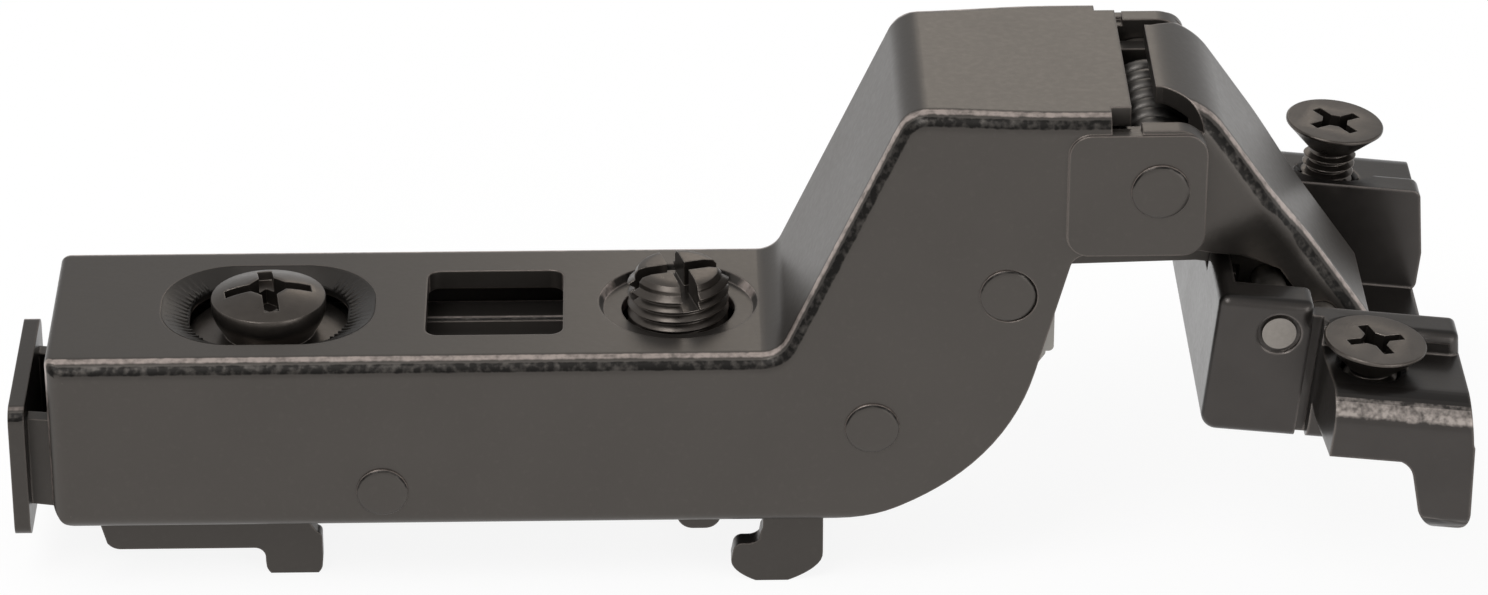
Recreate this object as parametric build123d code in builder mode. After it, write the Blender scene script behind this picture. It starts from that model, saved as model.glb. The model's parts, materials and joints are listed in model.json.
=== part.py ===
from build123d import *
import os
from math import atan2, cos, degrees, radians, sin

# Concealed clip-on hinge with a high-crank arm and a boss for narrow metal door frames.
# Millimetres. X runs along the arm towards the door, Z is up, Y=0 is the plane of symmetry.
# The origin is the middle of the pad that rests on the mounting plate.

# Sheet and fits
SHEET = 1.5                # arm and bracket steel
LEVER_SHEET = 1.4          # outer lever steel
LATCH_SHEET = 1.2          # release lever steel
BEND_R = 1.45              # outer radius of the arm's folds
BRACKET_BEND = SHEET + 0.4
RUN_FIT = 0.05             # radial clearance where a pin turns
SEAT_FIT = 0.01            # radial clearance where a pin is held
SIDE_GAP = 0.35            # gap between neighbouring sheet walls
HEAD_PROUD = 0.25          # rivet heads stand this far out of the sheet
RIVET_HEAD = 1.93          # radius of the smallest rivet heads

# Arm, seen from the side
ARM_HALF = 9.4             # half the width over the flat rear
EAR_HALF = ARM_HALF + 0.8  # half the width over the ears
ARM_REAR = -33.0
ARM_TOP = 5.1
ARM_BOTTOM = -9.0
FLAT_END = 21.0            # where the flat top meets the slope
SLOPE_TOP = 30.2           # where the slope meets the raised top
CRANK_TOP = 24.9
WEB_FRONT = 46.4           # front edge of the raised top
NOTCH_Y = EAR_HALF - 2.0   # inner side of the relief notches
EAR_LEFT = 41.8
EAR_RIGHT = 51.9
EAR_TOP = 23.9
EAR_BOTTOM = 13.9
EAR_PROUD = 0.25
FOOT_X = 36.2              # where the front edge would meet the bottom edge
FOOT_R = 17.7
REAR_R = 2.6
FLARE_HALF = ARM_HALF + 0.4                            # half the width at the inner lever's rivet

# Pivots, all in the plane of symmetry, as X and Z
EAR_X, EAR_Z = 48.5, 19.2                              # outer lever on the arm
BACK_X, BACK_Z = EAR_X - 10.8, EAR_Z - 8.7             # inner lever on the arm
BOSS_X, BOSS_Z = EAR_X + 8.8, EAR_Z - 10.5             # inner lever on the boss
FAR_X, FAR_Z = EAR_X + 12.6, EAR_Z - 12.6              # outer lever on the boss
TILT_X, TILT_Z = -8.4, -5.7                            # arm on the bracket
BRACE_X, BRACE_Z = 27.9, -0.7                          # rivet low in the crank
PIN_R = 1.25
RIVET_R = 1.5

# Windows in the flat top
DEPTH_X = -16.9            # depth screw
SIDE_X = 13.7              # side screw
SLIDE = 1.3                # depth adjustment each way
DEPTH_HEAD_R = 4.3
DEPTH_SLOT_WIDE = 9.9
DISH_LONG, DISH_WIDE, DISH_DEEP = 16.0, 12.6, 0.9
WINDOW = 10.2
SIDE_SCREW_R = 3.8
SIDE_HOLE_GAP = 0.45
RING_R = 5.95
RING_DEEP = 0.6

# Bracket inside the arm
BRACKET_TOP = 2.0
PAD_DEEP = 0.5
PAD_LONG, PAD_WIDE = 16.0, 9.0
BRACKET_REAR = -30.0
BRACKET_EDGE = -9.3
BRACKET_HEEL = -10.2
HEEL_X = 15.1
HOOK_FRONT = 24.4
HOOK_LOW = -14.5
LATCH_X, LATCH_Z = -24.0, -4.5
LATCH_R = 1.25
LATCH_HALF = ARM_HALF - 2 * SHEET - 2 * SIDE_GAP       # inside the bracket

# Release lever
PAD_X = LATCH_X - 12.0     # outer face of the thumb pad
PAD_HALF = ARM_HALF - SHEET - 0.1
PAD_TOP, PAD_LOW = LATCH_Z + 4.9, LATCH_Z - 5.9
LATCH_LOW = LATCH_Z - 7.7
TOOTH_LOW = LATCH_Z - 10.1

# Outer lever
INNER_HALF = 4.3           # inner lever, between the outer lever's sides
LEVER_HALF = EAR_HALF - SHEET - 0.8                    # near the ears
LEVER_TIP_HALF = INNER_HALF + LEVER_SHEET + 0.6        # in the boss
LEVER_WEB_R = 5.9          # outside of its web from the ear pivot
LEVER_BEND = 1.7
LEVER_ANGLE = -55.0        # direction of its straight stretch
LEVER_EYE = 2.4
LEVER_TAIL = 2.6           # web past the boss pivot
WAIST_START, WAIST_END = 5.5, 13.0                     # where it narrows towards the boss

# Inner lever
EYE_R = 4.0                # outside of the eye round the low rivet
INNER_EYE = 2.2
PLAY_X, PLAY_Z = 0.4, 0.6  # middle of the open pivot's eye from its rivet
PLAY_R = 1.15              # play all round

# Shoe
SHOE_RIGHT = BACK_X + 3.6
SHOE_LEFT = SHOE_RIGHT - 6.8
TAB_TOP = 10.0             # its side tabs show at the arm's front edge
SHOE_LOW, SHOE_TOP = 0.6, 5.6

# Closing spring
WIRE = 1.4
COIL_R = 2.35
COIL_TURNS = 7
COIL_PITCH = 1.6

# Boss, in its own directions: U along its top, V square to it, from the inner lever's pivot
BOSS_TILT = 6.0
BOSS_HALF = LEVER_TIP_HALF + 6.6
BOSS_LEFT, BOSS_RIGHT = -4.66, 13.1
BLOCK_END = 2.3
BLOCK_TOP = 2.6
WALL_TOP = 1.1
BOSS_LOW = -8.5
BOSS_FLOOR = 1.3
CAVITY_HALF = BOSS_HALF - 2.7
LEFT_WALL = 1.3
WING_HALF = BOSS_HALF + 7.9
WING_LEFT = 3.2
WING_TOP, WING_LOW = -0.6, -4.1
WING_ROLL = 2.7
FLARE = 0.9                # its door end leans out by this much
FINGER_LOW = -10.0
FINGER_HALF = WING_HALF - 6.8
NOTCH_LOW = 0.6            # top of the rear wall under the inner lever
SOCKET_HALF = BOSS_HALF - 1.6                          # end of the blind sockets
SCREW_U, SCREW_Y = 6.6, WING_HALF - 5.6
SCREW_R, SCREW_HEAD_R = 2.0, 3.75
SCREW_LONG = 6.8
SINK_R = 4.3               # sunk cone, at the height of the walls
SCREW_NEAR_V, SCREW_FAR_V = 1.45, 4.1                  # how high each head stands

SIDE = Plane.XZ
BIG = 60.0
boss_up = radians(BOSS_TILT)
BOSS_PLANE = Plane(origin=(BOSS_X, 0, BOSS_Z), x_dir=(cos(boss_up), 0, -sin(boss_up)), z_dir=(0, -1, 0))


def across(half, x, z, radius, start=0.0):
    """A round bar across the hinge, from Y=start to Y=half on the far side, or all through."""
    with BuildPart() as bar:
        with BuildSketch(SIDE.offset(-start if start else half)):
            with Locations((x, z)):
                Circle(radius)
        extrude(amount=-(half - start) if start else -2 * half)
    return bar.part


def on_boss(u, v):
    """World X and Z of a place given along and across the boss."""
    place = BOSS_PLANE.from_local_coords((u, v, 0))
    return place.X, place.Z


def rivet(x, z, wall, shank, head):
    """A through rivet: one shank and a low head outside each wall."""
    with BuildPart() as one:
        add(across(wall + 0.01, x, z, shank))
        for side in (-1, 1):
            with BuildSketch(SIDE.offset(side * wall)):
                with Locations((x, z)):
                    Circle(head)
            extrude(amount=side * HEAD_PROUD)
    return one.part


# Arm: one folded sheet, first the outside of the folds
with BuildPart() as arm_inside:
    with BuildSketch(SIDE):
        with BuildLine():
            FilletPolyline(
                (ARM_REAR - 5, ARM_BOTTOM - 5),
                (ARM_REAR - 5, ARM_TOP - SHEET),
                (FLAT_END + SHEET * 0.65, ARM_TOP - SHEET),
                (SLOPE_TOP + SHEET * 0.65, CRANK_TOP - SHEET),
                (EAR_RIGHT + 5, CRANK_TOP - SHEET),
                (EAR_RIGHT + 5, ARM_BOTTOM - 5),
                radius=1.0, close=True)
        make_face()
    extrude(amount=BIG, both=True)
    with BuildSketch(Plane.XY.offset(ARM_BOTTOM - 6)):
        with BuildLine():
            edge = Polyline((ARM_REAR - 6, 0), (ARM_REAR - 6, ARM_HALF - SHEET), (SLOPE_TOP, ARM_HALF - SHEET))
            flare = Spline(edge @ 1, (EAR_LEFT, EAR_HALF - SHEET), tangents=((1, 0), (1, 0)))
            Polyline(flare @ 1, (EAR_RIGHT + 6, EAR_HALF - SHEET), (EAR_RIGHT + 6, 0))
            mirror(about=Plane.XZ)
        make_face()
    extrude(amount=BIG, mode=Mode.INTERSECT)

with BuildPart() as arm:
    with BuildSketch(SIDE):
        with BuildLine():
            FilletPolyline(
                (ARM_REAR, ARM_BOTTOM),
                (ARM_REAR, ARM_TOP),
                (FLAT_END, ARM_TOP),
                (SLOPE_TOP, CRANK_TOP),
                (EAR_RIGHT + 3, CRANK_TOP),
                (EAR_RIGHT + 3, ARM_BOTTOM),
                radius=[0.5, 0.5, 2.0, 2.4, 0.5, 0.5], close=True)
        make_face()
    extrude(amount=BIG, both=True)
    with BuildSketch(Plane.XY.offset(ARM_BOTTOM - 1)):
        with BuildLine():
            edge = Polyline((ARM_REAR - 2, 0), (ARM_REAR - 2, ARM_HALF), (SLOPE_TOP, ARM_HALF))
            flare = Spline(edge @ 1, (EAR_LEFT, EAR_HALF), tangents=((1, 0), (1, 0)))
            Polyline(flare @ 1, (EAR_RIGHT + 4, EAR_HALF), (EAR_RIGHT + 4, 0))
            mirror(about=Plane.XZ)
        make_face()
    extrude(amount=BIG, mode=Mode.INTERSECT)
    top_faces = faces().filter_by(lambda f: f.normal_at().Z > 0.1 and f.center().Z > ARM_TOP - 1)
    folds = [e for e in top_faces.edges() if abs(e.center().Y) > ARM_HALF - 0.5]
    fillet(folds, BEND_R)
    add(arm_inside.part, mode=Mode.SUBTRACT)
    with BuildSketch(SIDE):
        with BuildLine():
            outline = FilletPolyline(
                (ARM_REAR, BIG / 2),
                (ARM_REAR, ARM_BOTTOM),
                (FOOT_X, ARM_BOTTOM),
                (EAR_LEFT + 0.6, EAR_BOTTOM),
                (EAR_RIGHT, EAR_BOTTOM),
                (EAR_RIGHT, EAR_TOP),
                (WEB_FRONT, EAR_TOP),
                (WEB_FRONT, BIG / 2),
                radius=[0.1, REAR_R, FOOT_R, 1.2, 2.2, 2.2, 0.4, 0.1], close=True)
        make_face()
    extrude(amount=BIG, both=True, mode=Mode.INTERSECT)
    # Square window over the seat pad
    with BuildSketch(Plane.XY.offset(ARM_TOP + 1)):
        RectangleRounded(WINDOW, WINDOW, 1.0)
    extrude(amount=-SHEET - 2, mode=Mode.SUBTRACT)
    # Sunk dish, slot and teeth round the depth screw
    with BuildSketch(Plane.XY.offset(ARM_TOP)):
        with Locations((DEPTH_X, 0)):
            RectangleRounded(DISH_LONG, DISH_WIDE, 0.44 * DISH_WIDE)
    extrude(amount=-DISH_DEEP, taper=30, mode=Mode.SUBTRACT)
    with BuildSketch(Plane.XY.offset(ARM_TOP + 1)):
        with Locations((DEPTH_X, 0)):
            RectangleRounded(2 * (DEPTH_HEAD_R + SLIDE + 0.35), DEPTH_SLOT_WIDE, 4.0)
    extrude(amount=-SHEET - 2, mode=Mode.SUBTRACT)
    # Round dish and hole for the side screw
    with BuildSketch(Plane.XY.offset(ARM_TOP)):
        with Locations((SIDE_X, 0)):
            Circle(RING_R)
    extrude(amount=-RING_DEEP, taper=30, mode=Mode.SUBTRACT)
    with BuildSketch(Plane.XY.offset(ARM_TOP + 1)):
        with Locations((SIDE_X, 0)):
            Circle(SIDE_SCREW_R + SIDE_HOLE_GAP)
    extrude(amount=-SHEET - 2, mode=Mode.SUBTRACT)
    # Past the raised top only the ears are left, with a relief notch at each corner
    with BuildSketch(Plane.XY.offset(BIG)):
        with Locations((WEB_FRONT + 10, 0)):
            Rectangle(20, 2 * (EAR_HALF - SHEET))
        for side in (-1, 1):
            with Locations((WEB_FRONT - 0.4, side * (NOTCH_Y + 1.5))):
                Rectangle(2.2, 3)
    extrude(amount=-(BIG - CRANK_TOP + SHEET), mode=Mode.SUBTRACT)
    # Plates raised a little on the ears
    for side in (-1, 1):
        with BuildSketch(SIDE.offset(side * (EAR_HALF - 0.5))):
            with Locations(((EAR_LEFT + EAR_RIGHT) / 2, (EAR_TOP + EAR_BOTTOM) / 2 - 0.1)):
                RectangleRounded(EAR_RIGHT - EAR_LEFT - 0.1, EAR_TOP - EAR_BOTTOM - 0.3, 1.6)
        extrude(amount=side * (0.5 + EAR_PROUD))
    # Rivet holes
    add(across(BIG, EAR_X, EAR_Z, RIVET_R + SEAT_FIT), mode=Mode.SUBTRACT)
    add(across(BIG, BACK_X, BACK_Z, RIVET_R + SEAT_FIT), mode=Mode.SUBTRACT)
    add(across(BIG, BRACE_X, BRACE_Z, RIVET_R + SEAT_FIT), mode=Mode.SUBTRACT)
    add(across(BIG, TILT_X, TILT_Z, RIVET_R + RUN_FIT), mode=Mode.SUBTRACT)
    for side in (-1, 1):
        with BuildSketch(SIDE.offset(side * FLARE_HALF)):
            with Locations((BACK_X, BACK_Z)):
                Circle(RIVET_HEAD + 0.2)
        extrude(amount=side * 2, mode=Mode.SUBTRACT)

# Bracket: channel that hooks on the mounting plate, inside the arm
BRACKET_HALF = ARM_HALF - SHEET - SIDE_GAP
with BuildPart() as bracket:
    with BuildSketch(Plane.YZ.offset(BRACKET_REAR - 1)):
        with Locations((0, BRACKET_TOP - BIG / 2)):
            RectangleRounded(2 * BRACKET_HALF, BIG, BRACKET_BEND)
        with Locations((0, BRACKET_TOP - SHEET - BIG / 2)):
            RectangleRounded(2 * (BRACKET_HALF - SHEET), BIG, BRACKET_BEND - SHEET, mode=Mode.SUBTRACT)
    extrude(amount=HOOK_FRONT - BRACKET_REAR + 2)
    with BuildSketch(SIDE):
        with BuildLine():
            FilletPolyline(
                (BRACKET_REAR, BRACKET_TOP + 1),
                (HOOK_FRONT, BRACKET_TOP + 1),
                (HOOK_FRONT, HOOK_LOW),
                (HOOK_FRONT - 7.4, HOOK_LOW),
                (HOOK_FRONT - 6.6, HOOK_LOW + 3.4),
                (HOOK_FRONT - 4.5, HOOK_LOW + 3.4),
                (HOOK_FRONT - 4.5, BRACKET_EDGE + 0.5),
                (HEEL_X + 1.65, BRACKET_EDGE + 0.5),
                (HEEL_X + 1.65, BRACKET_HEEL),
                (HEEL_X - 1.65, BRACKET_HEEL),
                (HEEL_X - 1.65, BRACKET_EDGE + 0.5),
                (1.5, BRACKET_EDGE + 0.5),
                (0.5, BRACKET_EDGE),
                (BRACKET_REAR + 4.5, BRACKET_EDGE),
                (BRACKET_REAR, BRACKET_EDGE + 3.3),
                radius=[0.1, 0.1, 2.6, 1.6, 0.7, 1.1, 0.5, 0.1, 1.2, 1.2, 0.1, 0.3, 0.3, 1.8, 1.5],
                close=True)
        make_face()
    extrude(amount=BIG, both=True, mode=Mode.INTERSECT)
    with BuildSketch(Plane.XY.offset(BRACKET_TOP - SHEET + 0.2)):
        Rectangle(PAD_LONG, PAD_WIDE)
    extrude(amount=-PAD_DEEP - 0.2)
    with BuildSketch(Plane.XY.offset(BRACKET_TOP)):
        Rectangle(PAD_LONG - 1.6, PAD_WIDE - 1.6)
    extrude(amount=-PAD_DEEP, mode=Mode.SUBTRACT)
    with BuildSketch(Plane.XY.offset(BRACKET_TOP + 1)):
        with Locations((DEPTH_X, 0)):
            Circle(2.0 + RUN_FIT)
        with Locations((SIDE_X, 0)):
            SlotCenterToCenter(2 * SLIDE + 0.2, 2 * 1.8 + 0.2)
    extrude(amount=-SHEET - 2, mode=Mode.SUBTRACT)
    with BuildSketch(SIDE.offset(BIG)):
        with Locations((TILT_X, TILT_Z)):
            SlotCenterToCenter(2 * SLIDE + 0.2, 2 * (RIVET_R + RUN_FIT))
        with Locations((LATCH_X, LATCH_Z)):
            Circle(LATCH_R + SEAT_FIT)
    extrude(amount=-2 * BIG, mode=Mode.SUBTRACT)

with BuildPart() as latch_pin:
    add(across(BRACKET_HALF + 0.05, LATCH_X, LATCH_Z, LATCH_R))

with BuildPart() as latch_spring:
    with BuildLine() as latch_coil:
        Helix(pitch=0.95, height=6 * 0.95, radius=LATCH_R + 0.75,
              center=(LATCH_X, -3 * 0.95, LATCH_Z), direction=(0, 1, 0))
    with BuildSketch(Plane(origin=latch_coil.line @ 0, z_dir=latch_coil.line % 0)):
        RegularPolygon(0.4, 6)
    sweep(path=latch_coil.line, is_frenet=True)

# Release lever: thumb pad, stem and two toothed plates, folded from one sheet
with BuildPart() as release_lever:
    with BuildSketch(SIDE):
        with BuildLine():
            FilletPolyline(
                (PAD_X + 0.3, LATCH_Z + 3.3),
                (PAD_X + 0.3, LATCH_Z - 3.9),
                (LATCH_X - 6.4, LATCH_Z - 4.6),
                (LATCH_X - 4.3, LATCH_LOW),
                (LATCH_X + 7.2, LATCH_LOW),
                (LATCH_X + 7.2, TOOTH_LOW),
                (LATCH_X + 11.5, TOOTH_LOW),
                (LATCH_X + 11.5, LATCH_LOW + 1.2),
                (LATCH_X + 9.6, LATCH_LOW + 1.8),
                (LATCH_X + 9.6, LATCH_Z - 2.1),
                (LATCH_X + 3.5, LATCH_Z + 1.4),
                (LATCH_X, LATCH_Z + 2.6),
                (LATCH_X - 4.0, LATCH_Z + 2.6),
                radius=[0.3, 0.3, 1.5, 1.2, 0.8, 1.3, 1.3, 0.5, 0.4, 1.5, 2.0, 1.5, 1.5], close=True)
        make_face()
    extrude(amount=LATCH_HALF, both=True)
    with BuildSketch(Plane.YZ.offset(-BIG)):
        Rectangle(2 * (LATCH_HALF - LATCH_SHEET), BIG)
    extrude(amount=2 * BIG, mode=Mode.SUBTRACT)
    # Thumb pad
    with BuildSketch(Plane.YZ.offset(PAD_X)):
        with Locations((0, (PAD_TOP + PAD_LOW) / 2)):
            RectangleRounded(2 * PAD_HALF, PAD_TOP - PAD_LOW, 1.2)
    extrude(amount=LATCH_SHEET)
    # Flat stem between the plates
    with BuildSketch(Plane.XY.offset(LATCH_Z - 2.2)):
        with Locations(((PAD_X + LATCH_X - 3.0) / 2 + 0.3, 0)):
            Rectangle(LATCH_X - 3.0 - PAD_X, 2 * LATCH_HALF)
    extrude(amount=-LATCH_SHEET)
    # Ridges on the lower half of the pad
    with BuildSketch(Plane.YZ.offset(PAD_X)):
        with Locations((0, PAD_LOW + 3.6)):
            with GridLocations(0, 1.2, 1, 5):
                Rectangle(2 * PAD_HALF - 2.6, 0.6)
    extrude(amount=0.35, mode=Mode.SUBTRACT)
    add(across(BIG, LATCH_X, LATCH_Z, LATCH_R + RUN_FIT), mode=Mode.SUBTRACT)

# Depth screw: cam disc and domed head with a cross recess
dome_r = (DEPTH_HEAD_R ** 2 + 1.25 ** 2) / 2.5
with BuildPart() as depth_screw:
    with BuildSketch(SIDE):
        with BuildLine():
            low = Polyline((0, 6.75), (0, -0.7), (3.0, -0.7), (3.0, 0.35), (2.0, 0.35), (2.0, 2.15), (6.0, 2.15),
                           (6.0, 2.95), (DEPTH_HEAD_R - 1.3, 3.1), (DEPTH_HEAD_R, 4.9), (DEPTH_HEAD_R, 5.5))
            RadiusArc(low @ 1, (0, 6.75), -dome_r)
        make_face()
    revolve(axis=Axis.Z)
    with BuildSketch(Plane.XY.offset(6.75)):
        Rectangle(5.6, 1.1, rotation=8)
        Rectangle(1.1, 5.6, rotation=8)
        Circle(1.4)
    extrude(amount=-2.0, mode=Mode.SUBTRACT)
depth_screw.part = depth_screw.part.moved(Location((DEPTH_X, 0, 0)))

# Side screw: threaded, with slots right across its end
with BuildPart() as side_screw:
    with BuildSketch(SIDE):
        with BuildLine():
            Polyline((0, -0.65), (3.0, -0.65), (3.0, 0.35), (1.8, 0.35), (1.8, 2.15), (3.2, 2.15),
                     (SIDE_SCREW_R, 2.7), (SIDE_SCREW_R, 7.5), (SIDE_SCREW_R - 0.4, 7.95), (0, 7.95), close=True)
        make_face()
    revolve(axis=Axis.Z)
    with BuildSketch(Plane.XY.offset(7.95)):
        Rectangle(3 * SIDE_SCREW_R, 1.3, rotation=15)
        Rectangle(1.3, 3 * SIDE_SCREW_R, rotation=15)
    extrude(amount=-1.3, mode=Mode.SUBTRACT)
side_screw.part = side_screw.part.moved(Location((SIDE_X, 0, 0)))

# Rivets
def stub(side):
    """A short rivet: head outside the arm's wall, shank through the wall and the bracket's slot."""
    with BuildPart() as one:
        with BuildSketch(SIDE.offset(side * (BRACKET_HALF - SHEET))):
            with Locations((TILT_X, TILT_Z)):
                Circle(RIVET_R)
        extrude(amount=side * (SHEET + SIDE_GAP + SHEET + 0.01))
        with BuildSketch(SIDE.offset(side * (ARM_HALF + 0.01))):
            with Locations((TILT_X, TILT_Z)):
                Circle(RIVET_HEAD)
        extrude(amount=side * HEAD_PROUD)
    return one.part


with BuildPart() as rear_rivet_near:
    add(stub(1))
with BuildPart() as rear_rivet_far:
    add(stub(-1))
with BuildPart() as front_rivet:
    add(rivet(BRACE_X, BRACE_Z, ARM_HALF, RIVET_R, RIVET_HEAD + 0.1))
with BuildPart() as lever_rivet:
    add(rivet(BACK_X, BACK_Z, FLARE_HALF, RIVET_R, RIVET_HEAD + 0.15))
with BuildPart() as ear_rivet:
    add(rivet(EAR_X, EAR_Z, EAR_HALF + EAR_PROUD, RIVET_R, RIVET_HEAD + 0.2))


def washer(side):
    """A washer between an ear and the outer lever."""
    with BuildPart() as one:
        with BuildSketch(SIDE.offset(side * (LEVER_HALF + 0.15))):
            with Locations((EAR_X, EAR_Z)):
                Circle(3.2)
                Circle(RIVET_R + SEAT_FIT, mode=Mode.SUBTRACT)
        extrude(amount=side * (EAR_HALF - SHEET - LEVER_HALF - 0.3))
    return one.part


with BuildPart() as ear_washer_near:
    add(washer(1))
with BuildPart() as ear_washer_far:
    add(washer(-1))

# Closing spring: a coil round the ear rivet
coil_long = COIL_TURNS * COIL_PITCH
with BuildPart() as closing_spring:
    with BuildLine() as coil:
        Helix(pitch=COIL_PITCH, height=coil_long, radius=COIL_R,
              center=(EAR_X, -coil_long / 2, EAR_Z), direction=(0, 1, 0))
    with BuildSketch(Plane(origin=coil.line @ 0, z_dir=coil.line % 0)):
        RegularPolygon(WIRE / 2, 6)
    sweep(path=coil.line, is_frenet=True)

# Shoe that the inner lever rests on, fixed between the arm's walls
with BuildPart() as spring_shoe:
    with BuildSketch(SIDE):
        with BuildLine():
            FilletPolyline(
                (SHOE_LEFT, SHOE_LOW),
                (SHOE_RIGHT - 3.4, SHOE_LOW),
                (SHOE_RIGHT - 0.6, SHOE_TOP - 1.0),
                (SHOE_RIGHT - 0.6, SHOE_TOP),
                (SHOE_LEFT, SHOE_TOP),
                radius=[0.6, 0.8, 0.4, 0.5, 0.6], close=True)
        make_face()
    extrude(amount=ARM_HALF - SHEET, both=True)
    for side in (-1, 1):
        with BuildSketch(SIDE.offset(side * (ARM_HALF - SHEET))):
            with Locations((SHOE_RIGHT - 0.75, (SHOE_TOP + TAB_TOP) / 2 - 0.4)):
                RectangleRounded(1.5, TAB_TOP - SHOE_TOP + 0.8, 0.4)
        extrude(amount=-side * 1.6)

# Outer lever, in its own directions: S along its straight stretch, N square to it
lever_up = radians(LEVER_ANGLE)
LEVER_PLANE = Plane(origin=(EAR_X, 0, EAR_Z), x_dir=(cos(lever_up), 0, sin(lever_up)), z_dir=(0, -1, 0))
far_point = LEVER_PLANE.to_local_coords(Vector(FAR_X, 0, FAR_Z))
near_point = LEVER_PLANE.to_local_coords(Vector(BOSS_X, 0, BOSS_Z))
FAR_S, FAR_N = far_point.X, far_point.Y
NEAR_S, NEAR_N = near_point.X, near_point.Y
LEVER_END = FAR_S + LEVER_TAIL
CLEAR_N = NEAR_N + PIN_R + 0.35
PLAN_PLANE = Plane(origin=(EAR_X, 0, EAR_Z), x_dir=(cos(lever_up), 0, sin(lever_up)),
                   z_dir=(-sin(lever_up), 0, cos(lever_up)))
TURN = 90 + LEVER_ANGLE    # where its web leaves the round stretch, seen from the ear pivot


def lever_at(s, n):
    """World X and Z of a place given along and across the outer lever."""
    place = LEVER_PLANE.from_local_coords((s, n, 0))
    return place.X, place.Z


def lever_plan(half, tip_half, end):
    """Half widths of the lever, wide at the ears and narrow in the boss."""
    with BuildPart() as block:
        with BuildSketch(PLAN_PLANE.offset(-30)):
            with BuildLine():
                run = Polyline((-20, 0), (-20, half), (WAIST_START, half))
                joggle = Spline(run @ 1, (WAIST_END, tip_half), tangents=((1, 0), (1, 0)))
                Polyline(joggle @ 1, (end, tip_half), (end, 0))
                mirror(about=Plane.XZ)
            make_face()
        extrude(amount=60)
    return block.part


with BuildPart() as lever_inside:
    with BuildSketch(SIDE):
        inner_r = LEVER_WEB_R - LEVER_SHEET
        with BuildLine():
            start = (EAR_X - 8, EAR_Z + inner_r)
            Line(start, (EAR_X, EAR_Z + inner_r))
            bend = CenterArc((EAR_X, EAR_Z), inner_r, 90, TURN - 90)
            Polyline(bend @ 1, lever_at(LEVER_END + 5, inner_r), lever_at(LEVER_END + 5, -20),
                     (EAR_X - 8, EAR_Z - 30), start)
        make_face()
    extrude(amount=BIG, both=True)
    add(lever_plan(LEVER_HALF - LEVER_SHEET, LEVER_TIP_HALF - LEVER_SHEET, LEVER_END + 8), mode=Mode.INTERSECT)

with BuildPart() as outer_lever:
    with BuildSketch(SIDE):
        with BuildLine():
            start = (EAR_X - 6, EAR_Z + LEVER_WEB_R)
            Line(start, (EAR_X, EAR_Z + LEVER_WEB_R))
            bend = CenterArc((EAR_X, EAR_Z), LEVER_WEB_R, 90, TURN - 90)
            Polyline(bend @ 1, lever_at(LEVER_END + 2, LEVER_WEB_R), lever_at(LEVER_END + 2, -12),
                     (EAR_X - 6, EAR_Z - 12), start)
        make_face()
    extrude(amount=BIG, both=True)
    add(lever_plan(LEVER_HALF, LEVER_TIP_HALF, LEVER_END + 3), mode=Mode.INTERSECT)
    web = faces().filter_by(lambda f: f.normal_at().dot(LEVER_PLANE.y_dir) > 0.6)
    fillet([e for e in web.edges() if abs(e.center().Y) > LEVER_TIP_HALF - 0.2], LEVER_BEND)
    add(lever_inside.part, mode=Mode.SUBTRACT)
    with BuildSketch(SIDE):
        with BuildLine():
            Polyline(
                (EAR_X - 0.1, EAR_Z + LEVER_WEB_R + 1),
                (EAR_X + LEVER_WEB_R + 2, EAR_Z + LEVER_WEB_R + 1),
                lever_at(0, LEVER_WEB_R + 3),
                lever_at(LEVER_END, LEVER_WEB_R + 3),
                lever_at(LEVER_END, inner_r - 0.6),
                lever_at(FAR_S + 1.0, FAR_N),
                lever_at(FAR_S - 1.0, CLEAR_N),
                lever_at(NEAR_S - 1.2, CLEAR_N),
                lever_at(9.3, 1.1),
                lever_at(7.9, -0.2),
                lever_at(6.4, -1.4),
                lever_at(4.6, -3.2),
                (EAR_X - 2.6, EAR_Z - 3.1),
                (EAR_X - 4.0, EAR_Z),
                (EAR_X - 3.2, EAR_Z + 2.4),
                (EAR_X - 0.1, EAR_Z + inner_r - 0.3), close=True)
        make_face()
        with Locations((EAR_X, EAR_Z)):
            Circle(4.0)
        with Locations((FAR_X, FAR_Z)):
            Circle(LEVER_EYE)
    extrude(amount=BIG, both=True, mode=Mode.INTERSECT)
    # Curved cuts at the rear corners of the web
    for side in (-1, 1):
        with BuildSketch(Plane.XY.offset(EAR_Z + inner_r - 1.2)):
            with BuildLine():
                ThreePointArc((EAR_X + 0.4, side * (LEVER_HALF - 2.7)), (EAR_X + 2.0, side * (LEVER_HALF - 1.6)),
                              (EAR_X + 3.4, side * (LEVER_HALF + 0.1)))
                Polyline((EAR_X + 3.4, side * (LEVER_HALF + 0.1)), (EAR_X - 3, side * (LEVER_HALF + 0.1)),
                         (EAR_X - 3, side * (LEVER_HALF - 2.7)), (EAR_X + 0.4, side * (LEVER_HALF - 2.7)))
            make_face()
        extrude(amount=BIG, mode=Mode.SUBTRACT)
    add(across(BIG, EAR_X, EAR_Z, RIVET_R + RUN_FIT), mode=Mode.SUBTRACT)
    add(across(BIG, FAR_X, FAR_Z, PIN_R + RUN_FIT), mode=Mode.SUBTRACT)

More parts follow.
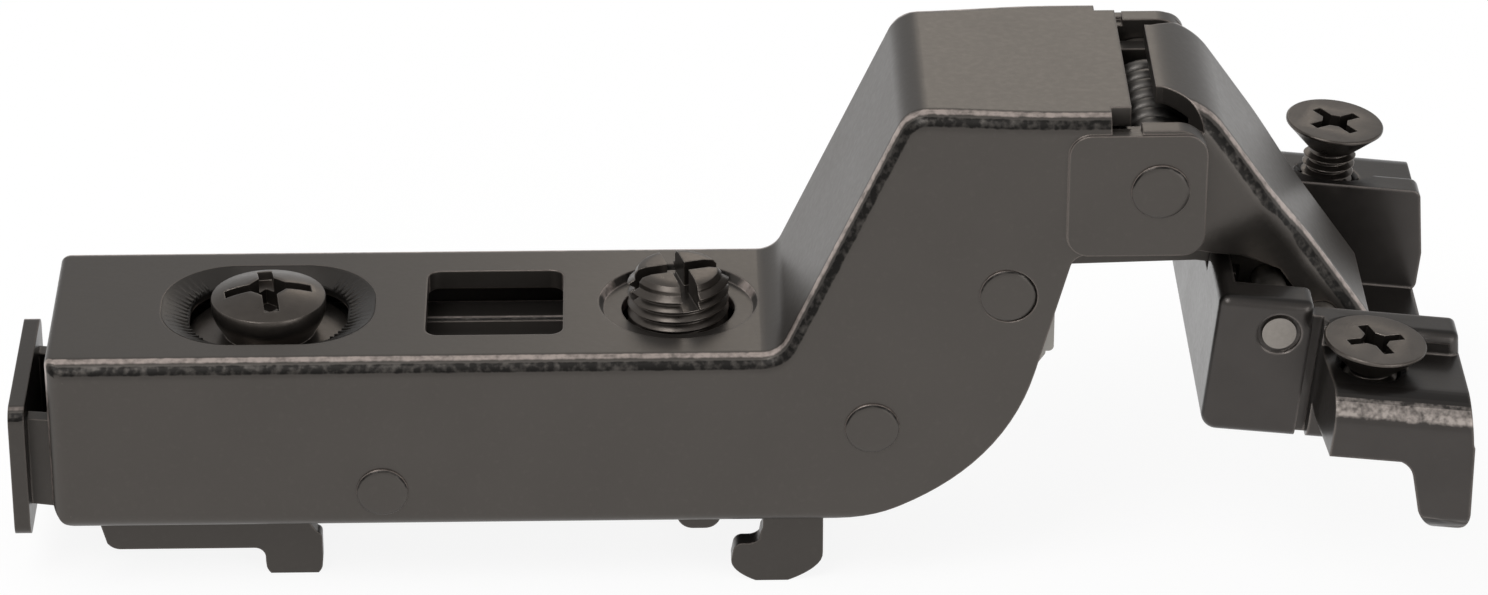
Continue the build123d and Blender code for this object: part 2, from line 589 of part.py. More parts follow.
# Inner lever: a cranked bar from the low rivet over the boss's rear wall to its front pin
with BuildPart() as inner_lever:
    with BuildSketch(SIDE):
        with BuildLine():
            FilletPolyline(
                (BACK_X + PLAY_X - 1, BACK_Z + PLAY_Z),
                (BACK_X + PLAY_X + 3.0, BACK_Z + PLAY_Z - 1.0),
                on_boss(BOSS_LEFT - 0.9, NOTCH_LOW + 0.5),
                on_boss(-INNER_EYE, NOTCH_LOW + 0.4),
                on_boss(-INNER_EYE, -0.4),
                on_boss(INNER_EYE, -0.4),
                on_boss(-1.36, 2.56),
                on_boss(-2.75, 5.15),
                (BACK_X + 8.5, BACK_Z + 5.1),
                (BACK_X + PLAY_X - 0.5, BACK_Z + PLAY_Z + EYE_R),
                radius=[0.2, 1.2, 1.0, 0.2, 0.2, 0.2, 0.3, 1.2, 2.5, 0.3], close=True)
        make_face()
        with Locations((BACK_X + PLAY_X, BACK_Z + PLAY_Z)):
            Circle(EYE_R)
        with Locations((BOSS_X, BOSS_Z)):
            Circle(INNER_EYE)
    extrude(amount=INNER_HALF, both=True)
    add(across(BIG, BACK_X + PLAY_X, BACK_Z + PLAY_Z, RIVET_R + PLAY_R), mode=Mode.SUBTRACT)
    add(across(BIG, BOSS_X, BOSS_Z, PIN_R + RUN_FIT), mode=Mode.SUBTRACT)

# Boss: open box for the levers, with a wing and a finger each side
with BuildPart() as boss:
    with BuildSketch(BOSS_PLANE):
        with BuildLine():
            FilletPolyline(
                (BOSS_LEFT, BOSS_LOW),
                (BOSS_LEFT, BLOCK_TOP),
                (BLOCK_END, BLOCK_TOP),
                (BLOCK_END, WALL_TOP),
                (BOSS_RIGHT, WALL_TOP),
                (BOSS_RIGHT + FLARE, WING_LOW),
                (BOSS_RIGHT + FLARE, BOSS_LOW + 1.5),
                (BOSS_RIGHT + FLARE - 1.5, BOSS_LOW),
                radius=[1.2, 0.8, 0.6, 0.4, 0.6, 0.5, 0.8, 0.8], close=True)
        make_face()
    extrude(amount=BOSS_HALF, both=True)
    corner = [e for e in edges() if abs(abs(e.center().Y) - BOSS_HALF) < 0.01
              and BOSS_PLANE.to_local_coords(e.center()).X < BOSS_LEFT + 0.01]
    fillet(corner, 0.8)
    for side in (-1, 1):
        with BuildSketch(BOSS_PLANE.offset(side * (BOSS_HALF - 0.5))):
            with BuildLine():
                Polyline((WING_LEFT, WING_LOW), (WING_LEFT, WING_TOP), (BOSS_RIGHT + 0.3 * FLARE, WING_TOP),
                         (BOSS_RIGHT + FLARE, WING_LOW), close=True)
            make_face()
        extrude(amount=side * (WING_HALF - BOSS_HALF + 0.5))
        with BuildSketch(BOSS_PLANE.offset(side * FINGER_HALF)):
            with BuildLine():
                FilletPolyline(
                    (BOSS_RIGHT - 5.6, WING_LOW + 0.5),
                    (BOSS_RIGHT - 3.4, WING_LOW - 0.3),
                    (BOSS_RIGHT - 1.9, FINGER_LOW),
                    (BOSS_RIGHT + 2 * FLARE, FINGER_LOW),
                    (BOSS_RIGHT + FLARE, WING_LOW + 0.5),
                    radius=[0.3, 1.6, 0.7, 0.7, 0.3], close=True)
            make_face()
        extrude(amount=side * (WING_HALF - FINGER_HALF))
        # Groove between the pin block and the wing
        with BuildSketch(BOSS_PLANE.offset(side * (BOSS_HALF - 1.3))):
            with Locations(((BLOCK_END + WING_LEFT) / 2, 0)):
                Rectangle(WING_LEFT - BLOCK_END, BIG)
        extrude(amount=side * 5, mode=Mode.SUBTRACT)
    rims = [e for e in edges() if abs(abs(e.center().Y) - WING_HALF) < 0.01
            and abs(BOSS_PLANE.to_local_coords(e.center()).Y - WING_TOP) < 0.01]
    fillet(rims, WING_ROLL)
    # Rounded toe of each finger
    end_on = Plane(origin=(BOSS_X, 0, BOSS_Z), x_dir=(0, 1, 0), z_dir=(cos(boss_up), 0, -sin(boss_up)))
    for side in (-1, 1):
        with BuildSketch(end_on.offset(BOSS_RIGHT - 6)):
            with Locations((side * (WING_HALF - 0.5), FINGER_LOW + 0.5)):
                Rectangle(3, 3)
            with Locations((side * (WING_HALF - 2), FINGER_LOW + 2)):
                Circle(2, mode=Mode.SUBTRACT)
        extrude(amount=12, mode=Mode.SUBTRACT)
    # Slanted rear corner of each wing
    for side in (-1, 1):
        with BuildSketch(Plane(origin=(BOSS_X, 0, BOSS_Z), x_dir=(cos(boss_up), 0, -sin(boss_up)),
                               z_dir=(sin(boss_up), 0, cos(boss_up))).offset(WING_TOP + 1)):
            with BuildLine():
                Polyline((WING_LEFT - 2, side * (WING_HALF - 6)), (WING_LEFT, side * (WING_HALF - 6)),
                         (WING_LEFT + 1.9, side * (WING_HALF + 0.01)), (WING_LEFT + 1.9, side * (WING_HALF + 2)),
                         (WING_LEFT - 2, side * (WING_HALF + 2)), close=True)
            make_face()
        extrude(amount=-(WING_TOP - WING_LOW + 1.2), mode=Mode.SUBTRACT)
    # Space for the levers, open above and at the door side
    with BuildSketch(BOSS_PLANE):
        with BuildLine():
            FilletPolyline(
                (BOSS_LEFT + LEFT_WALL, 20),
                (BOSS_LEFT + LEFT_WALL, BOSS_LOW + BOSS_FLOOR),
                (BOSS_RIGHT + 5, BOSS_LOW + BOSS_FLOOR),
                (BOSS_RIGHT + 5, 20),
                radius=[0.5, 1.0, 0.5, 0.5], close=True)
        make_face()
    extrude(amount=CAVITY_HALF, both=True, mode=Mode.SUBTRACT)
    # Low stretch of the rear wall, where the inner lever passes over
    with BuildSketch(BOSS_PLANE):
        with Locations((BOSS_LEFT, NOTCH_LOW + 10)):
            Rectangle(2 * LEFT_WALL + 1.5, 20)
    extrude(amount=INNER_HALF + 0.6, both=True, mode=Mode.SUBTRACT)
    # Pins: one right through, with sunk ends, and one in blind sockets
    add(across(BIG, BOSS_X, BOSS_Z, PIN_R + SEAT_FIT), mode=Mode.SUBTRACT)
    for side in (-1, 1):
        with BuildSketch(SIDE.offset(side * BOSS_HALF)):
            with Locations((BOSS_X, BOSS_Z)):
                Circle(PIN_R + 0.35)
        extrude(amount=-side * 0.35, mode=Mode.SUBTRACT)
    add(across(SOCKET_HALF, FAR_X, FAR_Z, PIN_R + SEAT_FIT), mode=Mode.SUBTRACT)
    # Screw holes with sunk cones
    for side in (-1, 1):
        place = Plane(origin=(BOSS_X, 0, BOSS_Z), x_dir=(cos(boss_up), 0, -sin(boss_up)),
                      z_dir=(sin(boss_up), 0, cos(boss_up)))
        with BuildSketch(place.offset(WALL_TOP)):
            with Locations((SCREW_U, side * SCREW_Y)):
                Circle(SINK_R)
        extrude(amount=-SINK_R + 0.1, taper=45, mode=Mode.SUBTRACT)
        with BuildSketch(place.offset(WING_TOP + 3)):
            with Locations((SCREW_U, side * SCREW_Y)):
                Circle(SCREW_R + 0.2)
        extrude(amount=-BIG, mode=Mode.SUBTRACT)

with BuildPart() as boss_pin_inner:
    add(across(BOSS_HALF - 0.1, BOSS_X, BOSS_Z, PIN_R))
with BuildPart() as boss_pin_outer:
    add(across(SOCKET_HALF - 0.1, FAR_X, FAR_Z, PIN_R))


def frame_screw(rise, side):
    """A countersunk screw with a cross recess, along the boss's upright direction."""
    with BuildPart() as one:
        with BuildSketch(SIDE):
            with BuildLine():
                Polyline((0, 0), (SCREW_HEAD_R, 0), (SCREW_HEAD_R, -0.3), (SCREW_R, SCREW_R - SCREW_HEAD_R - 0.3),
                         (SCREW_R, 0.4 - SCREW_LONG), (SCREW_R - 0.4, -SCREW_LONG), (0, -SCREW_LONG), close=True)
            make_face()
        revolve(axis=Axis.Z)
        with BuildSketch(Plane.XY):
            Rectangle(4.2, 0.9)
            Rectangle(0.9, 4.2)
            Circle(1.0)
        extrude(amount=-1.9, taper=12, mode=Mode.SUBTRACT)
    x, z = on_boss(SCREW_U, rise)
    return one.part.moved(Location((x, side * SCREW_Y, z), (0, BOSS_TILT, 0)))


with BuildPart() as frame_screw_near:
    add(frame_screw(SCREW_NEAR_V, -1))
with BuildPart() as frame_screw_far:
    add(frame_screw(SCREW_FAR_V, 1))

os.makedirs("parts", exist_ok=True)

bracket.part.label = "bracket"
export_step(bracket.part, "parts/bracket.step")
latch_pin.part.label = "latch_pin"
export_step(latch_pin.part, "parts/latch_pin.step")
latch_spring.part.label = "latch_spring"
export_step(latch_spring.part, "parts/latch_spring.step")
release_lever.part.label = "release_lever"
export_step(release_lever.part, "parts/release_lever.step")
depth_screw.part.label = "depth_screw"
export_step(depth_screw.part, "parts/depth_screw.step")
side_screw.part.label = "side_screw"
export_step(side_screw.part, "parts/side_screw.step")
rear_rivet_near.part.label = "rear_rivet_near"
export_step(rear_rivet_near.part, "parts/rear_rivet_near.step")
rear_rivet_far.part.label = "rear_rivet_far"
export_step(rear_rivet_far.part, "parts/rear_rivet_far.step")
arm.part.label = "arm"
export_step(arm.part, "parts/arm.step")
front_rivet.part.label = "front_rivet"
export_step(front_rivet.part, "parts/front_rivet.step")
lever_rivet.part.label = "lever_rivet"
export_step(lever_rivet.part, "parts/lever_rivet.step")
ear_rivet.part.label = "ear_rivet"
export_step(ear_rivet.part, "parts/ear_rivet.step")
ear_washer_near.part.label = "ear_washer_near"
export_step(ear_washer_near.part, "parts/ear_washer_near.step")
ear_washer_far.part.label = "ear_washer_far"
export_step(ear_washer_far.part, "parts/ear_washer_far.step")
closing_spring.part.label = "closing_spring"
export_step(closing_spring.part, "parts/closing_spring.step")
spring_shoe.part.label = "spring_shoe"
export_step(spring_shoe.part, "parts/spring_shoe.step")
outer_lever.part.label = "outer_lever"
export_step(outer_lever.part, "parts/outer_lever.step")
inner_lever.part.label = "inner_lever"
export_step(inner_lever.part, "parts/inner_lever.step")
boss.part.label = "boss"
export_step(boss.part, "parts/boss.step")
boss_pin_inner.part.label = "boss_pin_inner"
export_step(boss_pin_inner.part, "parts/boss_pin_inner.step")
boss_pin_outer.part.label = "boss_pin_outer"
export_step(boss_pin_outer.part, "parts/boss_pin_outer.step")
frame_screw_near.part.label = "frame_screw_near"
export_step(frame_screw_near.part, "parts/frame_screw_near.step")
frame_screw_far.part.label = "frame_screw_far"
export_step(frame_screw_far.part, "parts/frame_screw_far.step")
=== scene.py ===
"""Looks for the clip-on hinge: plating, screws, stage and camera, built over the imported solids."""

import json
from math import cos, pi, radians, sin

import bpy
from mathutils import Matrix, Vector


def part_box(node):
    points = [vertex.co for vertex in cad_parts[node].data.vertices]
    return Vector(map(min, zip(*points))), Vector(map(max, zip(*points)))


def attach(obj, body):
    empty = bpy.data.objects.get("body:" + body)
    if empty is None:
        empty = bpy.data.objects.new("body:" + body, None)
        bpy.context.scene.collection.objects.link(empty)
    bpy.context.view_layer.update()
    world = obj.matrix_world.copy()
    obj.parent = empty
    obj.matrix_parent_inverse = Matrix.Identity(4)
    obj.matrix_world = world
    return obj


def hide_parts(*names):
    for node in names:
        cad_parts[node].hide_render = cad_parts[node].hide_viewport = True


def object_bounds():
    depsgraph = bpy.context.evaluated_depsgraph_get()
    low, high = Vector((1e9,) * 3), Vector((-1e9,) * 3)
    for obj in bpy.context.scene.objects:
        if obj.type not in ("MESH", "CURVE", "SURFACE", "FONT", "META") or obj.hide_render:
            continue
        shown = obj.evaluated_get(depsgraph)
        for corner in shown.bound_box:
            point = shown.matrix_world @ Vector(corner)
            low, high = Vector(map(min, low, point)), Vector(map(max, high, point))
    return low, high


bl_info = {
    "name": "Clip-on Hinge Finish",
    "version": (1, 0, 0),
    "blender": (4, 5, 0),
    "location": "View3D > Sidebar > Hinge",
    "description": "Plating, screws, stage and camera for the clip-on hinge",
    "category": "Object",
}

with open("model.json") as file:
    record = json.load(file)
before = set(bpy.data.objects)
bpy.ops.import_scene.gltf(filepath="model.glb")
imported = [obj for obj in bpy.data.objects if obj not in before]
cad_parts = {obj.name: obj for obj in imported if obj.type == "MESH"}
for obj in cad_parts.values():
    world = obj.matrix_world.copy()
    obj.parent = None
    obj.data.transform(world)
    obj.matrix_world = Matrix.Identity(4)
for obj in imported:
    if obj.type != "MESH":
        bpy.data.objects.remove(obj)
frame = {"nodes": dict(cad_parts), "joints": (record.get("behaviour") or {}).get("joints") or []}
NODES = frame["nodes"]
CAD_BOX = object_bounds()
MM = 0.001

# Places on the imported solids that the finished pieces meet
ARM_TOP = 5.1 * MM            # top of the arm's flat rear
BOSS_TILT = radians(6)        # slope of the boss when the hinge is open
BOSS_WALL = 12.9 * MM         # outer side of the boss's walls
WING_START = 3.2 * MM         # rear edge of the wings, along the boss from its near pivot
WING_UNDERSIDE = -4.1 * MM    # underside of the wings, up from the same pivot
FINGER_MIDDLE = 13.2 * MM     # middle of the fingers, along the boss
HOOK_TOE = Vector((20.6, 0, -12.6)) * MM    # where the front hooks begin to round off
HOOK_REACH = 16 * MM          # only the front hooks lie further forward and this low


# Properties

class PlatingProps(bpy.types.PropertyGroup):
    """Colours and gloss of the plated steel"""

    arm_colour: bpy.props.FloatVectorProperty(
        name="Arm colour", description="Plating on the arm and levers", subtype="COLOR",
        size=3, min=0, max=1, default=(0.078, 0.070, 0.063))
    boss_colour: bpy.props.FloatVectorProperty(
        name="Boss colour", description="Plating on the zinc boss", subtype="COLOR",
        size=3, min=0, max=1, default=(0.056, 0.050, 0.046))
    screw_colour: bpy.props.FloatVectorProperty(
        name="Screw colour", description="Plating on the screws", subtype="COLOR",
        size=3, min=0, max=1, default=(0.080, 0.070, 0.062))
    roughness: bpy.props.FloatProperty(
        name="Roughness", description="Roughness of the plated sheet", min=0, max=1, default=0.38)
    grain: bpy.props.FloatProperty(
        name="Grain size", description="Spacing of the sheet's fine mottling", subtype="DISTANCE",
        unit="LENGTH", min=0.0001, default=0.0005)


class ScrewProps(bpy.types.PropertyGroup):
    """Threads, slots, springs and rivets"""

    pitch: bpy.props.FloatProperty(
        name="Thread pitch", description="Rise of the side screw's thread in one turn", subtype="DISTANCE",
        unit="LENGTH", min=0.0003, default=0.0008)
    frame_pitch: bpy.props.FloatProperty(
        name="Frame screw pitch", description="Rise of the frame screws' thread in one turn",
        subtype="DISTANCE", unit="LENGTH", min=0.0003, default=0.0007)
    slot: bpy.props.FloatProperty(
        name="Slot width", description="Width of the side screw's crossed slots", subtype="DISTANCE",
        unit="LENGTH", min=0.0003, default=0.0013)
    wire: bpy.props.FloatProperty(
        name="Spring wire", description="Thickness of the closing spring's wire", subtype="DISTANCE",
        unit="LENGTH", min=0.0003, default=0.0014)
    coils: bpy.props.IntProperty(
        name="Coils", description="Turns of the closing spring", min=2, default=7)
    round: bpy.props.FloatProperty(
        name="Rivet rounding", description="Rounded rim of the rivet heads", subtype="DISTANCE",
        unit="LENGTH", min=0.00002, default=0.0001)


class StageProps(bpy.types.PropertyGroup):
    """Camera, lamps and floor"""

    lens: bpy.props.FloatProperty(
        name="Lens", description="Focal length in millimetres on a 36 mm sensor", min=20, default=141.53)
    camera_place: bpy.props.FloatVectorProperty(
        name="Camera place", description="Where the camera stands", subtype="TRANSLATION",
        unit="LENGTH", size=3, default=(0.0105, -0.3863, 0.2108))
    aim: bpy.props.FloatVectorProperty(
        name="Aim", description="Point in the middle of the picture", subtype="TRANSLATION",
        unit="LENGTH", size=3, default=(0.01843, -0.0094, 0.0103))
    floor_drop: bpy.props.FloatProperty(
        name="Floor drop", description="Gap from the lowest point down to the floor", subtype="DISTANCE",
        unit="LENGTH", min=0, default=0.0002)
    lamp_power: bpy.props.FloatProperty(
        name="Lamp power", description="Power of the main lamp in watts", min=0, default=2.2)


# Shader maths

class Sock:
    """A shader socket that can be used in Python expressions."""

    def __init__(self, tree, out):
        self.tree = tree
        self.out = out

    def math(self, operation, other=None, flip=False):
        one = self.tree.node("ShaderNodeMath", {"operation": operation})
        values = [self, other]
        if flip:
            values.reverse()
        for index, value in enumerate(values):
            if value is not None:
                self.tree.plug(one.inputs[index], value)
        return Sock(self.tree, one.outputs[0])

    def __add__(self, other):
        return self.math("ADD", other)

    def __sub__(self, other):
        return self.math("SUBTRACT", other)

    def __rsub__(self, other):
        return self.math("SUBTRACT", other, flip=True)

    def __mul__(self, other):
        return self.math("MULTIPLY", other)


class Tree:
    """A material's nodes, written one call at a time."""

    def __init__(self, name):
        self.material = bpy.data.materials.new(name)
        self.material.use_nodes = True
        self.nodes = self.material.node_tree.nodes
        self.links = self.material.node_tree.links
        self.shader = self.nodes["Principled BSDF"]

    def plug(self, socket, value):
        if isinstance(value, Sock):
            self.links.new(value.out, socket)
        else:
            socket.default_value = value

    def node(self, kind, settings=None, **sockets):
        one = self.nodes.new(kind)
        for key, value in (settings or {}).items():
            if key == "stops":
                ramp = one.color_ramp
                while len(ramp.elements) < len(value):
                    ramp.elements.new(0.5)
                for element, (place, colour) in zip(ramp.elements, value):
                    element.position = place
                    element.color = colour
            else:
                setattr(one, key, value)
        for key, value in sockets.items():
            self.plug(one.inputs[key.replace("_", " ")], value)
        return one

    def place(self, kind="Object"):
        """Object coordinates, or the normal in them."""
        return Sock(self, self.node("ShaderNodeTexCoord").outputs[kind])

    def axis(self, kind, letter):
        """One part of the object coordinates, or of the normal in them."""
        parts = self.node("ShaderNodeSeparateXYZ", Vector=self.place(kind))
        return Sock(self, parts.outputs[letter])

    def noise(self, size, detail, rough):
        """Mottling whose patches are about as wide as the size given."""
        one = self.node("ShaderNodeTexNoise", Vector=self.place(), Scale=1 / size,
                        Detail=detail, Roughness=rough)
        return Sock(self, one.outputs["Fac"])

    def ramp(self, value, stops):
        colours = [(p, (c, c, c, 1) if isinstance(c, float) else (*c, 1)) for p, c in stops]
        one = self.node("ShaderNodeValToRGB", {"stops": colours}, Fac=value)
        return Sock(self, one.outputs["Color"])

    def mix(self, factor, a, b):
        one = self.node("ShaderNodeMix", {"data_type": "RGBA"})
        self.plug(one.inputs["Factor"], factor)
        self.plug(one.inputs[6], a if isinstance(a, Sock) else (*a, 1))
        self.plug(one.inputs[7], b if isinstance(b, Sock) else (*b, 1))
        return Sock(self, one.outputs[2])

    def bump(self, height, strength, depth, normal=None):
        one = self.node("ShaderNodeBump", Strength=strength, Distance=depth, Height=height)
        if normal:
            self.links.new(normal, one.inputs["Normal"])
        self.plug(self.shader.inputs["Normal"], Sock(self, one.outputs["Normal"]))

    def soft_edges(self, radius):
        """Rounds the shading at the sheet's edges, and gives how near each place is to one."""
        bevel = self.node("ShaderNodeBevel", {"samples": 6}, Radius=radius)
        plain = self.node("ShaderNodeNewGeometry")
        turn = self.node("ShaderNodeVectorMath", {"operation": "DOT_PRODUCT"})
        self.links.new(bevel.outputs["Normal"], turn.inputs[0])
        self.links.new(plain.outputs["Normal"], turn.inputs[1])
        return bevel.outputs["Normal"], 1 - Sock(self, turn.outputs["Value"])

    def fold(self):
        """Two masks on the bends between top and sides: their upper part and their lower part, where light
        and shade are painted.
        """
        side = self.axis("Normal", "Y").math("ABSOLUTE")
        upper = self.ramp(side, [(0.06, 0.0), (0.22, 1.0), (0.42, 1.0), (0.6, 0.0)])
        lower = self.ramp(side, [(0.5, 0.0), (0.66, 1.0), (0.9, 1.0), (0.97, 0.0)])
        high = self.ramp(self.axis("Normal", "Z"), [(0.02, 0.0), (0.12, 1.0)])
        return upper, lower * high

    def set(self, **sockets):
        for key, value in sockets.items():
            self.plug(self.shader.inputs[key.replace("_", " ")], value)


def scaled(colour, factor):
    return tuple(min(1.0, c * factor) for c in colour)


# Finishes

# Colour of the painted highlight along the sheet's edges
EDGE_HIGHLIGHT_STEEL = (0.33, 0.28, 0.25)
# Colour of the painted highlight along the boss's edges
EDGE_HIGHLIGHT_ZINC = (0.33, 0.29, 0.265)
# Paler colour on the screws' rims
PALE_RIM_SCREW = (0.42, 0.37, 0.33)
# Colour of the painted highlight on the sheet's bends
FOLD_HIGHLIGHT_STEEL = (0.52, 0.44, 0.40)
# Colour of the painted highlight on the boss's wing rolls
ROLL_HIGHLIGHT_ZINC = (0.50, 0.44, 0.40)
STEEL = (0.30, 0.275, 0.25)
SPRING_STEEL = (0.16, 0.15, 0.14)
NYLON = (0.38, 0.36, 0.33)


def finish(name):
    return bpy.data.materials[name]


def plated_sheet(name, colour, props, painted_highlight=0.5):
    """Black nickel over rolled sheet: fine mottling and cloudy patches, painted highlights on the upper part
    of the bends and along the edges, and a painted dark reflection on the lower part of the bends.
    """
    tree = Tree(name)
    cloud = tree.noise(0.012, 4, 0.6)
    grain = tree.noise(props.grain, 2, 0.5)
    coarse = tree.noise(0.0013, 3, 0.65)
    normal, edge = tree.soft_edges(0.00022)
    base = tree.mix(cloud, scaled(colour, 0.88), scaled(colour, 1.12))
    speck = tree.ramp(grain, [(0.55, 0.0), (0.8, 1.0)])
    base = tree.mix(speck * 0.12, base, scaled(colour, 1.8))
    upper, lower = tree.fold()
    # Painted highlight on the upper part of the bends
    fold_highlight = tree.ramp(upper * (coarse * 0.9 + grain * 0.9), [(0.42, 0.0), (1.0, 1.0)])
    # Painted dark reflection on the lower part of the bends
    fold_dark_reflection = tree.ramp(lower * (coarse * 0.6 + grain * 0.8), [(0.4, 0.0), (0.75, 1.0)])
    # Painted highlight along the sheet's edges
    rim = tree.ramp(edge + (coarse - 0.5) * 0.1, [(0.02, 0.0), (0.14, 1.0)])
    base = tree.mix(fold_dark_reflection * 0.9, base, scaled(colour, 0.05))
    base = tree.mix(fold_highlight * painted_highlight * 1.8, base, FOLD_HIGHLIGHT_STEEL)
    base = tree.mix(rim * painted_highlight, base, EDGE_HIGHLIGHT_STEEL)
    tree.set(Base_Color=base, Metallic=0.82,
             Roughness=(cloud * 0.10 + grain * 0.10) + (props.roughness - 0.10),
             Coat_Weight=0.1 - fold_dark_reflection * 0.1, Coat_Roughness=0.2)
    tree.bump(grain * 0.6 + coarse * 0.6, 0.14, 0.00006, normal)
    return tree.material


def cast_zinc(name, colour):
    """Plated die casting: glossier than the sheet, with a painted dark reflection on its top, painted shade
    on its upper bends, and painted highlights on the rolls of its wings and along its edges.
    """
    tree = Tree(name)
    cloud = tree.noise(0.006, 4, 0.6)
    fine = tree.noise(0.0004, 2, 0.5)
    coarse = tree.noise(0.0012, 3, 0.65)
    normal, edge = tree.soft_edges(0.00035)
    base = tree.mix(cloud, scaled(colour, 0.75), scaled(colour, 1.25))
    upper, lower = tree.fold()
    # Painted highlight on the lower part of the bends, kept to the wings' rolls
    roll_highlight = tree.ramp(lower * (coarse * 0.7 + fine * 0.9), [(0.5, 0.0), (0.95, 1.0)])
    # Painted highlight along the boss's edges
    rim = tree.ramp(edge + (coarse - 0.5) * 0.15, [(0.03, 0.0), (0.22, 1.0)])
    wing = tree.axis("Object", "Y").math("ABSOLUTE").math("GREATER_THAN", BOSS_WALL + 0.6 * MM)
    # Top-facing faces darkened: painted dark reflection
    top = tree.ramp(tree.axis("Normal", "Z"), [(0.5, 0.0), (0.85, 1.0)])
    base = tree.mix(top * 0.5, base, scaled(colour, 0.4))
    # Upper part of the bends darkened: painted shade
    base = tree.mix(upper * 0.5, base, scaled(colour, 0.15))
    base = tree.mix(roll_highlight * wing * 0.8, base, ROLL_HIGHLIGHT_ZINC)
    base = tree.mix(rim * 0.6, base, EDGE_HIGHLIGHT_ZINC)
    tree.set(Base_Color=base, Metallic=0.85, Roughness=(cloud * 0.14 + fine * 0.10) + 0.2,
             Coat_Weight=0.2, Coat_Roughness=0.12)
    tree.bump(cloud * 0.7 + coarse * 0.3, 0.25, 0.0001, normal)
    return tree.material


def polished_screw(name, colour, rough):
    """Turned and plated steel with paler rims and scuffs."""
    tree = Tree(name)
    cloud = tree.noise(0.0025, 3, 0.6)
    fine = tree.noise(0.0003, 2, 0.5)
    normal, edge = tree.soft_edges(0.00012)
    base = tree.mix(cloud, scaled(colour, 0.7), scaled(colour, 1.5))
    rim = tree.ramp(edge + (cloud - 0.5) * 0.2, [(0.04, 0.0), (0.25, 1.0)])
    base = tree.mix(rim * 0.55, base, PALE_RIM_SCREW)
    tree.set(Base_Color=base, Metallic=0.9, Roughness=(fine * 0.12 + cloud * 0.1) + (rough - 0.1))
    tree.bump(fine * 0.5 + cloud * 0.5, 0.2, 0.00005, normal)
    return tree.material


def bare_steel(name, colour, rough):
    """Ground steel."""
    tree = Tree(name)
    fine = tree.noise(0.0004, 3, 0.6)
    base = tree.mix(fine, scaled(colour, 0.75), scaled(colour, 1.2))
    tree.set(Base_Color=base, Metallic=1.0, Roughness=fine * 0.2 + rough)
    tree.bump(fine, 0.2, 0.00003)
    return tree.material


def moulded_nylon(name, colour):
    """Pale grey plastic with a fine eroded surface."""
    tree = Tree(name)
    fine = tree.noise(0.0003, 2, 0.5)
    cloud = tree.noise(0.004, 3, 0.5)
    tree.set(Base_Color=tree.mix(cloud, scaled(colour, 0.9), scaled(colour, 1.08)),
             Roughness=fine * 0.15 + 0.42)
    tree.bump(fine, 0.25, 0.00003)
    return tree.material


def paint(node, material):
    """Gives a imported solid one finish."""
    one = NODES[node]
    one.data.materials.clear()
    one.data.materials.append(material)


# Modelling by hand

def clear():
    bpy.ops.object.select_all(action="DESELECT")


def only(piece):
    clear()
    piece.select_set(True)
    bpy.context.view_layer.objects.active = piece


def settle(piece):
    """Puts the piece's place into its mesh."""
    only(piece)
    bpy.ops.object.transform_apply(location=True, rotation=True, scale=True)


def turned(name, profile, segments=56):
    """A turned solid about Z: a disc drawn out from ring to ring, given as radius and height."""
    clear()
    radius, low = profile[0]
    bpy.ops.mesh.primitive_circle_add(vertices=segments, radius=radius, fill_type="NGON",
                                      location=(0, 0, low))
    piece = bpy.context.object
    piece.name = name
    settle(piece)
    bpy.ops.object.mode_set(mode="EDIT")
    bpy.ops.mesh.select_all(action="SELECT")
    for (r0, z0), (r1, z1) in zip(profile, profile[1:]):
        bpy.ops.mesh.extrude_region_move(TRANSFORM_OT_translate={"value": (0, 0, z1 - z0)})
        bpy.ops.transform.resize(value=(r1 / r0, r1 / r0, 1), center_override=(0, 0, z1))
    bpy.ops.mesh.select_all(action="SELECT")
    bpy.ops.mesh.normals_make_consistent(inside=False)
    bpy.ops.object.mode_set(mode="OBJECT")
    return piece


def wound(name, section, points, radius, pitch, turns, low, steps=28):
    """A wire or a thread's ridge wound round Z."""
    clear()
    bpy.ops.mesh.primitive_circle_add(vertices=points, radius=section, location=(radius, 0, low),
                                      rotation=(pi / 2, pi / 2, 0))
    piece = bpy.context.object
    piece.name = name
    settle(piece)
    wind = piece.modifiers.new("wind", "SCREW")
    wind.axis = "Z"
    wind.screw_offset = pitch
    wind.iterations = turns
    wind.steps = steps
    wind.render_steps = steps
    bpy.ops.object.modifier_apply(modifier="wind")
    bpy.ops.object.mode_set(mode="EDIT")
    bpy.ops.mesh.select_all(action="SELECT")
    bpy.ops.mesh.fill_holes(sides=0)
    bpy.ops.mesh.select_all(action="SELECT")
    bpy.ops.mesh.normals_make_consistent(inside=False)
    bpy.ops.object.mode_set(mode="OBJECT")
    return piece


THREAD_DEPTH = 0.7            # as a share of the pitch


def thread(core, pitch, turns, low, steps):
    """A screw thread's ridge: three-sided, with its root inside the core."""
    return wound("ridge", 0.56 * pitch, 3, core + 0.14 * pitch, pitch, turns, low, steps)


def block(name, size, place, turn):
    """A plain block, used to cut slots."""
    clear()
    bpy.ops.mesh.primitive_cube_add(size=1, location=place, rotation=(0, 0, turn))
    piece = bpy.context.object
    piece.name = name
    piece.scale = size
    settle(piece)
    return piece


def combine(piece, tool, operation):
    """Adds or cuts one shape, and removes the tool."""
    only(piece)
    change = piece.modifiers.new("change", "BOOLEAN")
    change.operation = operation
    change.object = tool
    change.solver = "EXACT"
    bpy.ops.object.modifier_apply(modifier="change")
    only(tool)
    bpy.ops.object.delete()


def soften(piece, width, angle):
    """Bevels the edges that are sharper than the angle."""
    only(piece)
    rim = piece.modifiers.new("rim", "BEVEL")
    rim.width = width
    rim.segments = 2
    rim.angle_limit = radians(angle)
    bpy.ops.object.modifier_apply(modifier="rim")


